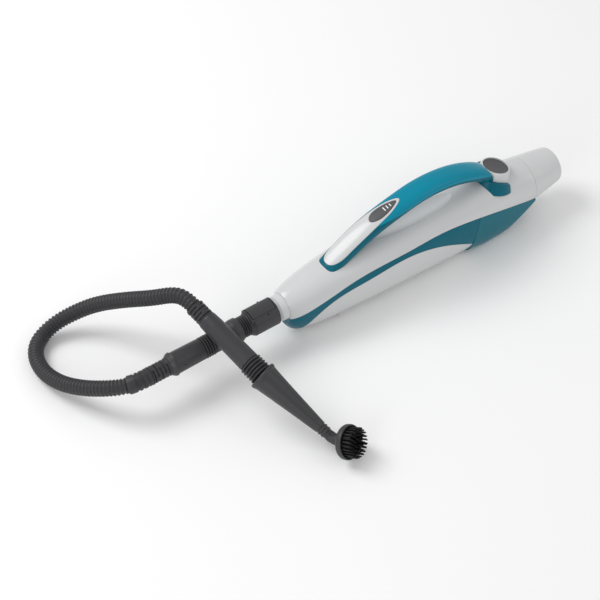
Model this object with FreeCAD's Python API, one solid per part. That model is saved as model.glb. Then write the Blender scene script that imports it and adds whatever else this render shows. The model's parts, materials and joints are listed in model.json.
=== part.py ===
"""Handheld steam unit of a steam mop, with its steam hose, wand and round brush.

Millimetres. The unit lies on its belly, handle up. +X runs from the steam outlet to the
rear cap, +Y is the far side and +Z is up. The origin is the middle of the flat rubber
rest pad under the belly. A station s is a distance from the rim of the steam outlet.
"""
import FreeCAD, Part
import math
import os

V = FreeCAD.Vector

# ---------------------------------------------------------------- driving dimensions
UNIT_LEN = 414.0        # rim of the steam outlet to the end of the rear cap
AXIS_H = 48.0           # height of the outlet axis above the rest pad
REST_S = 150.0          # station of the origin
BODY_HALF_W = 34.0      # widest half width of the housing
NOSE_HALF_W = 17.0      # half width of the blunt nose
TOP_H = 39.0            # top of the housing above the axis
BELLY_LIFT = 1.2        # belly above the rest plane
WALL = 2.5              # wall of the housing mouldings
SEAM_GAP = 0.4          # gap between neighbouring mouldings
NECK_LEN = 12.0         # outlet shoulder that shows between coupler and nose
SPIGOT_R = 9.5          # outlet spigot that the coupler slides over
SPIGOT_LEN = 22.0
STEAM_R = 3.5           # steam passage
CAP_LEN = 47.0          # rear cap
SEAM_R = 29.5           # rear cap radius at its seam
END_R = 22.5            # rear cap radius at its end
POLE_R = 14.2           # bore for the pole
POLE_WALL = 1.8
POLE_DEPTH = 74.0       # how far the pole goes in
GUIDE_LEN = 61.0        # length of the full bore, in front of the lock
TIP_R = 13.4            # bore round the pole's narrower tip
GRIP_HALF_W = 15.0      # handle half width
GRIP_HALF_T = 8.5       # handle half thickness
GRIP_WALL = 2.4
BUTTON_R = 15.5         # release button
BUTTON_TILT = 15.0      # degrees towards the cap
BUTTON_TRAVEL = 3.0
BUTTON_FIT = 0.35       # clearance round both push buttons
STEM_R = 5.0
STEAM_TRAVEL = 1.8      # travel of the steam button
TANK_LEN = 93.0         # tank, from its front face to the cap seam
TANK_WALL = 2.0
FILLER_R = 7.2          # filler hole
COUPLER_R = 16.4
COUPLER_LEN = 38.0
SLEEVE_R = 12.6
HOSE_R = 9.3            # outside of the corrugated hose
HOSE_BORE = 4.5
WAND_R = 11.8
CONE_FOOT_R = 17.3
CONE_TIP_R = 6.6
BRUSH_R = 20.0
BRISTLE_LEN = 15.0
RUN_FIT = 0.05          # radial clearance of pins and the brush spigot

# ---------------------------------------------------------------- derived stations
S_END = UNIT_LEN
S_SEAM = S_END - CAP_LEN
S_TANK = S_SEAM - TANK_LEN
S_BUTTON = S_SEAM - 44.0
S_GRIP_END = S_SEAM - 53.0
S_NOSE = NECK_LEN
S_GRIP = 70.0
S_MID = 0.5 * (S_GRIP + S_TANK)
BELLY_H = AXIS_H - BELLY_LIFT
BIG = 400.0


def at(s, y=0.0, z=0.0):
    """Point at station s, z above the outlet axis."""
    return V(s - REST_S, y, AXIS_H + z)


# ---------------------------------------------------------------- small helpers
def smooth(xs, ys, x):
    """Cubic through the points (xs, ys) whose slope at each is the mean of its neighbours'."""
    if x <= xs[0]:
        return ys[0]
    if x >= xs[-1]:
        return ys[-1]
    chords = [(ys[i + 1] - ys[i]) / (xs[i + 1] - xs[i]) for i in range(len(xs) - 1)]
    slopes = [chords[0]]
    for before, after in zip(chords, chords[1:]):
        slopes.append(0.5 * (before + after) if before * after > 0 else 0.0)
    slopes.append(chords[-1])
    i = max(k for k in range(len(xs) - 1) if xs[k] <= x)
    step = xs[i + 1] - xs[i]
    t = (x - xs[i]) / step
    value = ys[i] * (2 * t ** 3 - 3 * t ** 2 + 1) + ys[i + 1] * (3 * t ** 2 - 2 * t ** 3)
    value += step * slopes[i] * (t ** 3 - 2 * t ** 2 + t)
    return value + step * slopes[i + 1] * (t ** 3 - t ** 2)


def ring_wire(centre, across, up, half_w, top, bottom, power, low_power):
    """Closed smooth outline, a superellipse with its own height and power above and below."""
    points = []
    for k in range(28):
        t = 2 * math.pi * k / 28
        c = math.cos(t)
        s = math.sin(t)
        high = top if s > 0 else bottom
        n = power if s > 0 else low_power
        r = ((abs(c) / half_w) ** n + (abs(s) / high) ** n) ** (-1.0 / n)
        points.append(centre + across * (r * c) + up * (r * s))
    curve = Part.BSplineCurve()
    curve.interpolate(points, PeriodicFlag=True)
    return Part.Wire([curve.toShape()])


def loft(wires):
    return Part.makeLoft(wires, True, False)


def turned(profile, origin, direction):
    """Solid of revolution: profile is (distance along the axis, radius) points in order."""
    points = [V(a, 0, r) for a, r in profile]
    face = Part.Face(Part.makePolygon(points + [points[0]]))
    solid = face.revolve(V(0, 0, 0), V(1, 0, 0), 360)
    solid = Part.Solid(solid.Shells[0]) if solid.ShapeType != "Solid" else solid
    solid.Placement = FreeCAD.Placement(origin, FreeCAD.Rotation(V(1, 0, 0), direction))
    return solid


def rod(start, direction, radius, length):
    return Part.makeCylinder(radius, length, start, direction)


def block(low, high):
    size = high - low
    return Part.makeBox(size.x, size.y, size.z, low)


def slab_above(points, lift):
    """Everything above a curve in the side view, as one block as wide as needed."""
    lifted = [at(s, -BIG / 2, z + lift) for s, z in points]
    curve = Part.BSplineCurve()
    curve.interpolate(lifted)
    first = lifted[0]
    last = lifted[-1]
    ceiling_a = V(first.x, first.y, BIG)
    ceiling_b = V(last.x, last.y, BIG)
    edges = [
        curve.toShape(),
        Part.LineSegment(last, ceiling_b).toShape(),
        Part.LineSegment(ceiling_b, ceiling_a).toShape(),
        Part.LineSegment(ceiling_a, first).toShape(),
    ]
    return Part.Face(Part.Wire(edges)).extrude(V(0, BIG, 0))


def leaf_prism(points, grow, low, high, frame_x=V(1, 0, 0), frame_z=V(0, 0, 1), base=V(0, 0, 0)):
    """Upright prism over a leaf: points are (distance along, half width), pointed or round."""
    upper = [base + frame_x * a + V(0, b + grow, 0) for a, b in points[1:-1]]
    lower = [base + frame_x * a - V(0, b + grow, 0) for a, b in reversed(points[1:-1])]
    tip_a = base + frame_x * (points[0][0] - grow)
    tip_b = base + frame_x * (points[-1][0] + grow)
    curve = Part.BSplineCurve()
    curve.interpolate([tip_a] + upper + [tip_b] + lower, PeriodicFlag=True)
    face = Part.Face(Part.Wire([curve.toShape()]))
    face.translate(frame_z * low)
    return face.extrude(frame_z * (high - low))


def main_solid(shape):
    """The biggest solid of a cut, with its faces joined where they run on."""
    return max(shape.Solids, key=lambda solid: solid.Volume)


def coil(base, direction, radius, wire_r, length, turns):
    """Round wire coil spring with its axis along direction."""
    helix = Part.makeHelix(length / turns, length, radius)
    profile = Part.Wire([Part.makeCircle(wire_r, V(radius, 0, 0), V(0, 1, 0))])
    spring = Part.Wire(helix.Edges).makePipeShell([profile], True, True)
    spring.Placement = FreeCAD.Placement(base, FreeCAD.Rotation(V(0, 0, 1), direction))
    return spring


def ribbed(start, end, count, crest_r, root_r, bore_r):
    """Profile of a bellows: count round ribs between two ends, with a bore."""
    pitch = (end - start) / count
    profile = [(start, bore_r), (start, root_r)]
    for k in range(count):
        a = start + k * pitch
        profile += [(a + 0.2 * pitch, root_r), (a + 0.35 * pitch, crest_r)]
        profile += [(a + 0.65 * pitch, crest_r), (a + 0.8 * pitch, root_r)]
    profile += [(end, root_r), (end, bore_r)]
    return profile


parts = {}

# ---------------------------------------------------------------- housing outline
STATIONS = [S_NOSE, S_NOSE + 6, S_NOSE + 16, 50.0, 90.0, S_MID, S_TANK - 34, S_TANK + 14,
            S_BUTTON + 6, S_SEAM]
WIDE = [NOSE_HALF_W, NOSE_HALF_W + 3.5, NOSE_HALF_W + 6.5, BODY_HALF_W - 7, BODY_HALF_W - 3,
        BODY_HALF_W, BODY_HALF_W, BODY_HALF_W - 1, BODY_HALF_W - 2.2, SEAM_R]
TOPS = [NOSE_HALF_W, TOP_H - 19.5, TOP_H - 17, TOP_H - 12, TOP_H - 6, TOP_H - 1, TOP_H,
        TOP_H, TOP_H - 3, SEAM_R]
BOTTOMS = [BELLY_H - 21, BELLY_H - 10, BELLY_H - 3.5, BELLY_H - 0.6, BELLY_H, BELLY_H,
           BELLY_H - 0.4, BELLY_H - 3, BELLY_H - 13, SEAM_R]
POWERS = [2.0, 2.1, 2.2, 2.3, 2.35, 2.35, 2.35, 2.3, 2.15, 2.0]
LOW_POWERS = [2.0, 2.1, 2.2, 2.3, 2.35, 2.5, 2.9, 3.2, 2.5, 2.0]


def housing_ring(s, inset=0.0, bottom=None, low_power=None):
    """Outline of the housing at station s, drawn in by inset, or with a deeper belly."""
    half_w = smooth(STATIONS, WIDE, s) - inset
    top = smooth(STATIONS, TOPS, s) - inset
    low = smooth(STATIONS, BOTTOMS, s) if bottom is None else bottom
    power = smooth(STATIONS, POWERS, s)
    low_n = smooth(STATIONS, LOW_POWERS, s) if low_power is None else low_power
    return ring_wire(at(s), V(0, 1, 0), V(0, 0, 1), half_w, top, low - inset, power, low_n)


ring_stations = sorted(STATIONS + [70.0, 0.5 * (90 + S_MID), 0.5 * (S_MID + S_TANK - 34), S_TANK - 8,
                                   S_TANK + 32])
outer = loft([housing_ring(s) for s in ring_stations])
inner_stations = [S_NOSE + WALL] + ring_stations[1:-1] + [S_SEAM + 1]
inner = loft([housing_ring(s, WALL) for s in inner_stations])
housing = outer.cut(inner)

# teal band: its upper and lower edges in the side view, as (station, height above the axis)
BAND_TOP = [(-6, -11), (S_NOSE, -8), (46, 2), (90, 14), (S_MID, 19), (S_TANK - 48, 19.5),
            (S_TANK + 22, 9), (S_SEAM + 3, -11), (S_SEAM + 20, -18)]
BAND_LOW = [(18, -70), (27, -38), (46, -13), (68, 0), (114, 8), (S_MID - 12, 12), (S_TANK - 70, 6),
            (S_TANK - 20, -17), (S_TANK + 3, -34), (S_TANK + 22, -70)]
above_top = slab_above(BAND_TOP, 0.5 * SEAM_GAP)
under_top = slab_above(BAND_TOP, -0.5 * SEAM_GAP)
chin_zone = block(at(-BIG, -BIG / 2, -BIG), at(BAND_LOW[0][0] + 0.5, BIG / 2, BIG))
above_low = slab_above(BAND_LOW, 0.5 * SEAM_GAP).fuse(chin_zone)
below_low = slab_above(BAND_LOW, -0.5 * SEAM_GAP)

upper_shell = main_solid(housing.common(above_top))

# the tank's front face leans forward towards the belly
TANK_LEAN = 11.0


def tank_front(shift):
    """Big block behind the tank's front plane, moved along X by shift."""
    half = block(V(0, -BIG / 2, -BIG), V(BIG, BIG / 2, BIG))
    turn = FreeCAD.Rotation(V(0, 1, 0), TANK_LEAN)
    half.Placement = FreeCAD.Placement(at(S_TANK + shift, 0, 0), turn)
    return half


side_band = main_solid(housing.common(above_low).cut(under_top).cut(tank_front(-SEAM_GAP)))
leaf_zone = block(at(14, -BIG / 2, -BIG / 2), at(S_TANK + 22, BIG / 2, 20))
lower_shell = main_solid(housing.cut(below_low).common(leaf_zone).cut(tank_front(-SEAM_GAP)))

# ---------------------------------------------------------------- outlet neck
NECK_R = 13.0
neck_hole = rod(at(S_NOSE - 5), V(1, 0, 0), NECK_R + 0.1, WALL + 10)
upper_shell = main_solid(upper_shell.cut(neck_hole))
side_band = main_solid(side_band.cut(neck_hole))
FLANGE_S = S_NOSE + WALL + 9
parts["outlet_neck"] = turned([
    (-SPIGOT_LEN, STEAM_R), (-SPIGOT_LEN, SPIGOT_R - 1), (-SPIGOT_LEN + 1, SPIGOT_R),
    (-17, SPIGOT_R), (-17, SPIGOT_R - 1.2), (-15, SPIGOT_R - 1.2), (-15, SPIGOT_R),
    (-11, SPIGOT_R), (-11, SPIGOT_R - 1.2), (-9, SPIGOT_R - 1.2), (-9, SPIGOT_R),
    (0.2, SPIGOT_R), (0.2, NECK_R), (2.5, NECK_R + 0.8), (4, NECK_R + 2.4), (S_NOSE - 0.2, NECK_R + 3.4),
    (S_NOSE - 0.2, NECK_R), (FLANGE_S, NECK_R), (FLANGE_S, STEAM_R),
], at(0), V(1, 0, 0))
seals = [turned([(a, SPIGOT_R - 1.15), (a, SPIGOT_R + 0.3), (a + 1.7, SPIGOT_R + 0.3),
                 (a + 1.7, SPIGOT_R - 1.15)], at(0), V(1, 0, 0)) for a in (-16.85, -10.85)]
parts["outlet_seals"] = Part.makeCompound(seals)

# ---------------------------------------------------------------- release button and its well
tilt = math.radians(BUTTON_TILT)
press = V(math.sin(tilt), 0, math.cos(tilt))
BUTTON_Z = TOP_H + 8.5
button_top = at(S_BUTTON, 0, BUTTON_Z)
WELL_DEPTH = 11.0
RIM_R = BUTTON_R + 2.6
well = turned([(-19, 0), (-19, RIM_R + 3.6), (-9, RIM_R + 1.6), (-2, RIM_R + 0.2), (-0.7, RIM_R - 0.3),
               (0, RIM_R - 1.2), (0, 0)], button_top, press)
well_bore = rod(button_top - press * WELL_DEPTH, press, BUTTON_R + BUTTON_FIT, WELL_DEPTH + 1)
stem_hole = rod(button_top - press * 30, press, STEM_R + 0.3, 40)
upper_shell = upper_shell.cut(rod(button_top - press * 18, press, RIM_R, 20)).fuse(well)
upper_shell = main_solid(upper_shell.cut(well_bore).cut(stem_hole))
parts["release_button"] = turned([
    (-20, 0), (-20, STEM_R), (-5, STEM_R), (-5, BUTTON_R - 2), (-6.5, BUTTON_R - 2), (-6.5, BUTTON_R),
    (-1.4, BUTTON_R), (-0.8, BUTTON_R - 0.7), (-1.6, BUTTON_R - 3.5), (-2.2, 0),
], button_top, press)
parts["release_spring"] = coil(button_top - press * (WELL_DEPTH - 0.45), press, STEM_R + 1.4, 0.4,
                               WELL_DEPTH - 5 - 0.9, 3)

# ---------------------------------------------------------------- finger scoop under the handle
scoop = Part.makeSphere(1.0)
stretch = FreeCAD.Matrix()
stretch.scale(66.0, 15.0, 11.0)
scoop = scoop.transformGeometry(stretch)
scoop.translate(at(S_MID + 20, 0, TOP_H + 3))
scoop_skin = Part.makeSphere(1.0)
stretch_skin = FreeCAD.Matrix()
stretch_skin.scale(66.0 + WALL, 15.0 + WALL, 11.0 + WALL)
scoop_skin = scoop_skin.transformGeometry(stretch_skin)
scoop_skin.translate(at(S_MID + 20, 0, TOP_H + 3))
upper_shell = main_solid(upper_shell.fuse(outer.common(scoop_skin)).cut(scoop))

# ---------------------------------------------------------------- rear cap and pole socket
SOCKET_R = POLE_R + POLE_WALL
cap_start = S_SEAM + SEAM_GAP
taper = (SEAM_R - END_R) / CAP_LEN
parts["rear_cap"] = turned([
    (cap_start, SEAM_R - WALL), (cap_start, SEAM_R - 0.2), (cap_start + 0.6, SEAM_R),
    (cap_start + 16, SEAM_R - 15 * taper), (cap_start + 32, SEAM_R - 31 * taper),
    (S_END - 3, END_R + 0.4), (S_END - 1.2, END_R - 0.5), (S_END, END_R - 2.2),
    (S_END, SOCKET_R + 0.1), (S_END - 3, SOCKET_R + 0.1), (S_END - 3, END_R - WALL),
    (cap_start + 20, SEAM_R - WALL - 19 * taper),
], at(0), V(1, 0, 0))
pole_socket = turned([
    (S_END - POLE_DEPTH - 2, 0), (S_END - POLE_DEPTH - 2, SOCKET_R), (S_END, SOCKET_R),
    (S_END, POLE_R + 0.8), (S_END - 0.8, POLE_R), (S_END - GUIDE_LEN, POLE_R), (S_END - GUIDE_LEN, TIP_R),
    (S_END - POLE_DEPTH, TIP_R), (S_END - POLE_DEPTH, 0),
], at(0), V(1, 0, 0))

# ---------------------------------------------------------------- lock lever under the button
LEVER_S = S_BUTTON + 10.5
LEVER_Z = 24.5
LEVER_HALF = 4.0
NOSE_S = LEVER_S + 13.0
lever = block(at(LEVER_S - 17, -LEVER_HALF, LEVER_Z - 1.6), at(NOSE_S + 2.5, LEVER_HALF, LEVER_Z + 1.0))
lever = lever.fuse(rod(at(LEVER_S, -LEVER_HALF, LEVER_Z), V(0, 1, 0), 3.6, 2 * LEVER_HALF))
stem_low = button_top - press * 20
pad_top = stem_low.z - AXIS_H - 0.35
pad_s = stem_low.x + REST_S
lever = lever.fuse(block(at(pad_s - 1.3, -LEVER_HALF, LEVER_Z), at(pad_s + 0.5, LEVER_HALF, pad_top - 0.5)))
lever = lever.fuse(block(at(NOSE_S - 2, -LEVER_HALF, TIP_R - 1.4), at(NOSE_S + 2, LEVER_HALF, LEVER_Z)))
PIN_R = 1.5
lever = lever.cut(rod(at(LEVER_S, -20, LEVER_Z), V(0, 1, 0), PIN_R + RUN_FIT, 40))
parts["lock_lever"] = main_solid(lever)
parts["lever_pin"] = rod(at(LEVER_S, -LEVER_HALF - 5.5, LEVER_Z), V(0, 1, 0), PIN_R, 2 * LEVER_HALF + 11)
slot = block(at(NOSE_S - 4, -LEVER_HALF - 0.5, 0), at(NOSE_S + 5, LEVER_HALF + 0.5, 40))
ears = block(at(LEVER_S - 3, -LEVER_HALF - 4, LEVER_Z - 3), at(LEVER_S + 3, LEVER_HALF + 4, LEVER_Z + 3))
ears = ears.cut(block(at(LEVER_S - 5, -LEVER_HALF - 0.6, 0), at(LEVER_S + 5, LEVER_HALF + 0.6, 40)))
hinge_block = ears.cut(rod(at(LEVER_S, -20, LEVER_Z), V(0, 1, 0), PIN_R + 0.01, 40))
for side in (-1, 1):
    y_low = min(side * (LEVER_HALF + 0.6), side * (LEVER_HALF + 4))
    leg = block(at(LEVER_S - 3, y_low, 10), at(LEVER_S + 3, y_low + 3.4, LEVER_Z - 3))
    hinge_block = hinge_block.fuse(leg)
bridge = block(at(LEVER_S - 3, -LEVER_HALF - 4, 6), at(S_END - POLE_DEPTH - 0.5, LEVER_HALF + 4, 12))
pole_socket = pole_socket.fuse(hinge_block).fuse(bridge)
parts["pole_socket"] = main_solid(pole_socket.cut(slot))
lever_room = block(at(LEVER_S - 8, -LEVER_HALF - 5.8, 0), at(LEVER_S + 20, LEVER_HALF + 5.8, LEVER_Z + 3.6))
upper_shell = main_solid(upper_shell.cut(lever_room))

# ---------------------------------------------------------------- handle
GRIP_PATH = [(S_GRIP, 18), (S_GRIP + 17, 32), (S_GRIP + 36, 43), (S_GRIP + 66, 57), (S_MID, 67.5),
             (S_MID + 30, 73.5), (S_TANK - 45, 74), (S_TANK - 16, 69), (S_TANK + 8, 60),
             (S_GRIP_END - 12, 48), (S_GRIP_END, 34)]
grip_curve = Part.BSplineCurve()
grip_curve.interpolate([at(s, 0, z) for s, z in GRIP_PATH])
GRIP_WIDTHS = [0.9, 0.95, 0.98, 1.0, 1.0, 1.0, 1.0, 1.0, 1.0, 0.98, 0.95]


def grip_ring(k, inset):
    centre = at(GRIP_PATH[k][0], 0, GRIP_PATH[k][1])
    along = grip_curve.tangent(grip_curve.parameter(centre))[0]
    up = along.cross(V(0, 1, 0)).normalize() * -1
    if up.z < 0:
        up = up * -1
    half_w = GRIP_HALF_W * GRIP_WIDTHS[k] - inset
    half_t = GRIP_HALF_T - inset
    return ring_wire(centre, V(0, 1, 0), up, half_w, half_t, half_t, 2.5, 2.5)


grip_outer = loft([grip_ring(k, 0.0) for k in range(len(GRIP_PATH))])
grip_inner = loft([grip_ring(k, GRIP_WALL) for k in range(len(GRIP_PATH))])
collar_room = turned([(-25, 0), (-25, RIM_R + 4.8 + SEAM_GAP), (-9, RIM_R + 1.6 + SEAM_GAP),
                      (-6, RIM_R + 2.2), (14, RIM_R + 5.0), (14, 0)], button_top, press)
grip_skin = grip_outer.cut(outer).cut(collar_room)
grip_skin = main_solid(grip_skin.cut(grip_inner))

# white pad set in the front of the handle, and the seam of the grip cover
LEAF = [(S_GRIP + 3.5, 0), (S_GRIP + 6, 7.2), (S_GRIP + 14, 11.2), (S_GRIP + 30, 12.4), (S_GRIP + 56, 12.2),
        (S_GRIP + 80, 10.2), (S_GRIP + 98, 6.2), (S_GRIP + 107, 0)]
leaf_base = V(-REST_S, 0, 0)
leaf_room = leaf_prism(LEAF, 0.5 * SEAM_GAP, 0, BIG, base=leaf_base)
leaf_body = leaf_prism(LEAF, -0.5 * SEAM_GAP, 0, BIG, base=leaf_base)
mid_line = [(s, z + 1.5) for s, z in GRIP_PATH]
above_mid = slab_above(mid_line, 0.0)
COVER_SEAM = [(S_GRIP + 20, 60), (S_GRIP + 46, 60), (S_GRIP + 72, 64.5), (S_MID + 6, 68.5), (S_MID + 32, 73),
              (S_TANK - 45, 73.5), (S_TANK - 16, 68.5), (S_TANK + 8, 60), (S_GRIP_END - 8, 50),
              (S_GRIP_END + 30, 30)]
cover_above = slab_above(COVER_SEAM, 0.5 * SEAM_GAP)
cover_room = slab_above(COVER_SEAM, -0.5 * SEAM_GAP)
grip_insert = main_solid(grip_skin.common(leaf_body).common(above_mid))
grip_cover = main_solid(grip_skin.common(cover_above).cut(leaf_room))
grip_base = grip_skin.cut(leaf_room.common(slab_above(mid_line, -SEAM_GAP))).cut(cover_room)

# two pointed prongs run on from the handle and hug the button's collar
PRONG_W = 4.6
prong_ring = turned([(-24, RIM_R + 4.6 + SEAM_GAP), (-9, RIM_R + 1.6 + SEAM_GAP), (-4, RIM_R + 1.2 + SEAM_GAP),
                     (-5, RIM_R + PRONG_W), (-9, RIM_R + PRONG_W + 1.4), (-24, RIM_R + PRONG_W + 6)],
                    button_top, press)
PRONG_EDGE = [(S_BUTTON - 60, 66), (S_BUTTON - 34, 50.5), (S_BUTTON - 20, 43.5), (S_BUTTON - 4, 37.5),
              (S_BUTTON + 6, 31), (S_BUTTON + 30, 8)]
prong_room = block(at(S_BUTTON - 60, -BIG / 2, 0), at(S_BUTTON + 4, BIG / 2, BIG))
prongs = prong_ring.common(prong_room).cut(slab_above(PRONG_EDGE, 0)).cut(outer)
grip_base = grip_base.fuse(prongs)

# ---------------------------------------------------------------- steam button in the white pad
BUTTON_AT = S_GRIP + 86
STEAM_SLOPE = math.radians(21.0)
slope_x = V(math.cos(STEAM_SLOPE), 0, math.sin(STEAM_SLOPE))
slope_z = V(-math.sin(STEAM_SLOPE), 0, math.cos(STEAM_SLOPE))
button_seat = at(BUTTON_AT, 0, smooth([p[0] for p in GRIP_PATH], [p[1] for p in GRIP_PATH], BUTTON_AT))
OVAL = [(-19, 0), (-15, 5.2), (-6, 7.2), (5, 6.2), (14, 3.6), (20, 0)]
grown = loft([grip_ring(k, -0.6) for k in range(len(GRIP_PATH))])
oval_body = leaf_prism(OVAL, 0, 3.2, 16, slope_x, slope_z, button_seat)
oval_room = leaf_prism(OVAL, BUTTON_FIT, 0, 16, slope_x, slope_z, button_seat)
steam_button = main_solid(oval_body.common(grown))
grip_insert = main_solid(grip_insert.cut(oval_room))
marks = []
for k in range(3):
    mark_at = button_seat + slope_x * (3.0 + 4.2 * k)
    half = 3.0 - 0.45 * k
    bar = block(V(-0.6, -half, 0), V(0.6, half, 20))
    bar.Placement = FreeCAD.Placement(mark_at, FreeCAD.Rotation(V(0, 0, 1), slope_z))
    marks.append(bar)
inlays = [main_solid(bar.common(grown).cut(grip_outer)) for bar in marks]
for inlay in inlays:
    steam_button = steam_button.cut(inlay)
parts["level_marks"] = Part.makeCompound(inlays)
parts["steam_button"] = main_solid(steam_button)
SWITCH_TOP = 3.2 - STEAM_TRAVEL - 0.5
switch = block(V(-6, -3.2, SWITCH_TOP - 6.0), V(6, 3.2, SWITCH_TOP - 1))
switch = switch.fuse(block(V(-1.2, -1.2, SWITCH_TOP - 1), V(1.2, 1.2, SWITCH_TOP)))
switch.Placement = FreeCAD.Placement(button_seat, FreeCAD.Rotation(V(0, 0, 1), slope_z))
parts["micro_switch"] = switch
parts["handle_insert"] = grip_insert
parts["handle_grip"] = grip_cover
parts["handle_base"] = main_solid(grip_base)

# ---------------------------------------------------------------- water tank
DIAG_LOW = (S_TANK + 36, -AXIS_H)
DIAG_HIGH = (S_SEAM - 1.0, -13.0)
tank_stations = [S_TANK - 20, S_TANK, S_TANK + 14, S_TANK + 30, S_TANK + 50, S_SEAM - 12, S_SEAM + 8]
TANK_LOW = AXIS_H + 5.8
tank_lows = [TANK_LOW - 8, TANK_LOW - 4, TANK_LOW - 0.5, TANK_LOW, TANK_LOW, TANK_LOW, TANK_LOW]
TANK_POWER = 3.5


def tank_ring(k, inset):
    """Outline of the tank: the housing's sides carried down to the rest plane."""
    s = tank_stations[k]
    if s <= S_SEAM:
        return housing_ring(s, inset, tank_lows[k], TANK_POWER)
    half_w = SEAM_R - inset
    return ring_wire(at(s), V(0, 1, 0), V(0, 0, 1), half_w, half_w, tank_lows[k] - inset, 2.0, TANK_POWER)


tank_outer = loft([tank_ring(k, 0.0) for k in range(len(tank_stations))])
tank_inner = loft([tank_ring(k, TANK_WALL) for k in range(len(tank_stations))])
diag = V(DIAG_HIGH[0] - DIAG_LOW[0], 0, DIAG_HIGH[1] - DIAG_LOW[1]).normalize()
diag_out = V(-diag.z, 0, diag.x) * -1
diag_point = at(DIAG_LOW[0], 0, DIAG_LOW[1])


def behind_diag(shift):
    """Big block outside the tank's slanted rear face, moved outwards by shift."""
    half = block(V(-BIG, -BIG / 2, 0), V(BIG, BIG / 2, BIG))
    half.Placement = FreeCAD.Placement(diag_point + diag_out * shift, FreeCAD.Rotation(V(0, 0, 1), diag_out))
    return half


floor_cut = block(V(-BIG, -BIG / 2, -BIG), V(BIG, BIG / 2, 0))
DECK_Z = -2.0
DECK_STEP = S_END - POLE_DEPTH - 7
DECK_LOW = -SOCKET_R - 1.2
seam_end = block(at(S_SEAM - 0.3, -BIG / 2, -BIG), at(S_SEAM + BIG, BIG / 2, BIG))


def deck_room(drop, step):
    """Space above the tank's two-step deck, lowered by drop and started earlier by step."""
    high = block(at(0, -BIG / 2, DECK_Z - drop), at(S_END, BIG / 2, BIG))
    low = block(at(DECK_STEP - step, -BIG / 2, DECK_LOW - drop), at(S_END, BIG / 2, BIG))
    return high.fuse(low)


tank = tank_outer.cut(under_top).common(tank_front(0.0)).cut(behind_diag(0)).cut(floor_cut).cut(seam_end)
tank = tank.cut(deck_room(0.0, 0.0).common(tank_inner))
cavity = tank_inner.common(tank_front(TANK_WALL)).cut(behind_diag(-TANK_WALL))
cavity = cavity.cut(block(V(-BIG, -BIG / 2, -BIG), V(BIG, BIG / 2, TANK_WALL)))
cavity = cavity.cut(deck_room(TANK_WALL, TANK_WALL)).cut(
    block(at(S_SEAM - 0.3 - TANK_WALL, -BIG / 2, -BIG), at(S_SEAM + BIG, BIG / 2, BIG)))
tank = tank.cut(cavity)
filler_at = diag_point + diag * 38.0
filler_hole = rod(filler_at - diag_out * 8, diag_out, FILLER_R, 16)
tank = tank.cut(filler_hole)

CAP_PLATE = 2.2
CAP_R = FILLER_R + 3.2
HINGE_OUT = 2.4
hinge_at = filler_at + diag * (CAP_R + 2.4) + diag_out * HINGE_OUT
HINGE_PIN_R = 1.0
lug_gap = 3.3
for side in (-1, 1):
    lug = rod(hinge_at + V(0, side * (lug_gap + 1.5) - 1.2, 0), V(0, 1, 0), 2.2, 2.4)
    foot = block(V(-2.0, -1.2, -HINGE_OUT - 0.2), V(2.0, 1.2, 0))
    foot.Placement = FreeCAD.Placement(hinge_at + V(0, side * (lug_gap + 1.5), 0),
                                       FreeCAD.Rotation(V(0, 0, 1), diag_out))
    tank = tank.fuse(lug).fuse(foot)
hinge_hole = rod(hinge_at - V(0, 20, 0), V(0, 1, 0), HINGE_PIN_R + 0.01, 40)
tank = tank.cut(hinge_hole.common(block(V(hinge_at.x - 4, -8, hinge_at.z - 4), V(hinge_at.x + 4, 8, hinge_at.z + 4))))
parts["water_tank"] = main_solid(tank)
parts["filler_hinge_pin"] = rod(hinge_at - V(0, lug_gap + 2.7, 0), V(0, 1, 0), HINGE_PIN_R, 2 * lug_gap + 5.4)
cap = turned([(0.3, 0), (0.3, CAP_R - 0.5), (0.8, CAP_R), (CAP_PLATE, CAP_R), (CAP_PLATE + 0.8, CAP_R - 1.2),
              (CAP_PLATE + 0.4, CAP_R - 4), (CAP_PLATE + 0.4, 0)], filler_at, diag_out)
cap = cap.fuse(rod(filler_at - diag_out * 2.4, diag_out, FILLER_R - 1.8, 3.0))
arm = block(V(CAP_R - 4, -lug_gap + 0.4, 0.5), V(CAP_R + 2.4, lug_gap - 0.4, CAP_PLATE))
turn_arm = FreeCAD.Rotation(diag, V(0, 1, 0), diag_out, "ZXY")
arm.Placement = FreeCAD.Placement(filler_at, turn_arm)
barrel = rod(hinge_at - V(0, lug_gap - 0.4, 0), V(0, 1, 0), 2.0, 2 * lug_gap - 0.8)
cap = cap.fuse(arm).fuse(barrel).cut(rod(hinge_at - V(0, 20, 0), V(0, 1, 0), HINGE_PIN_R + RUN_FIT, 40))
parts["filler_cap"] = main_solid(cap)
parts["filler_seal"] = turned([(-2.0, FILLER_R - 1.75), (-2.0, FILLER_R - 0.7), (-0.6, FILLER_R - 0.7),
                               (-0.6, FILLER_R - 1.75)], filler_at, diag_out)

# bulkhead that closes the housing in front of and above the tank
bulk_zone = tank_front(-4.0).cut(tank_front(-1.5))
bulkhead = loft([housing_ring(s, WALL + 0.3) for s in inner_stations]).common(bulk_zone)
bulkhead = main_solid(bulkhead)
TUBE_R = 3.0
PUMP_Z = -14.0
feed_port = rod(at(S_TANK - 40, 0, PUMP_Z), V(1, 0, 0), TUBE_R + 0.1, 80)
parts["tank_bulkhead"] = main_solid(bulkhead.cut(feed_port))
parts["water_tank"] = main_solid(parts["water_tank"].cut(
    rod(at(S_TANK - 12, 0, PUMP_Z), V(1, 0, 0), TUBE_R - 1.0, 20)))

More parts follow.
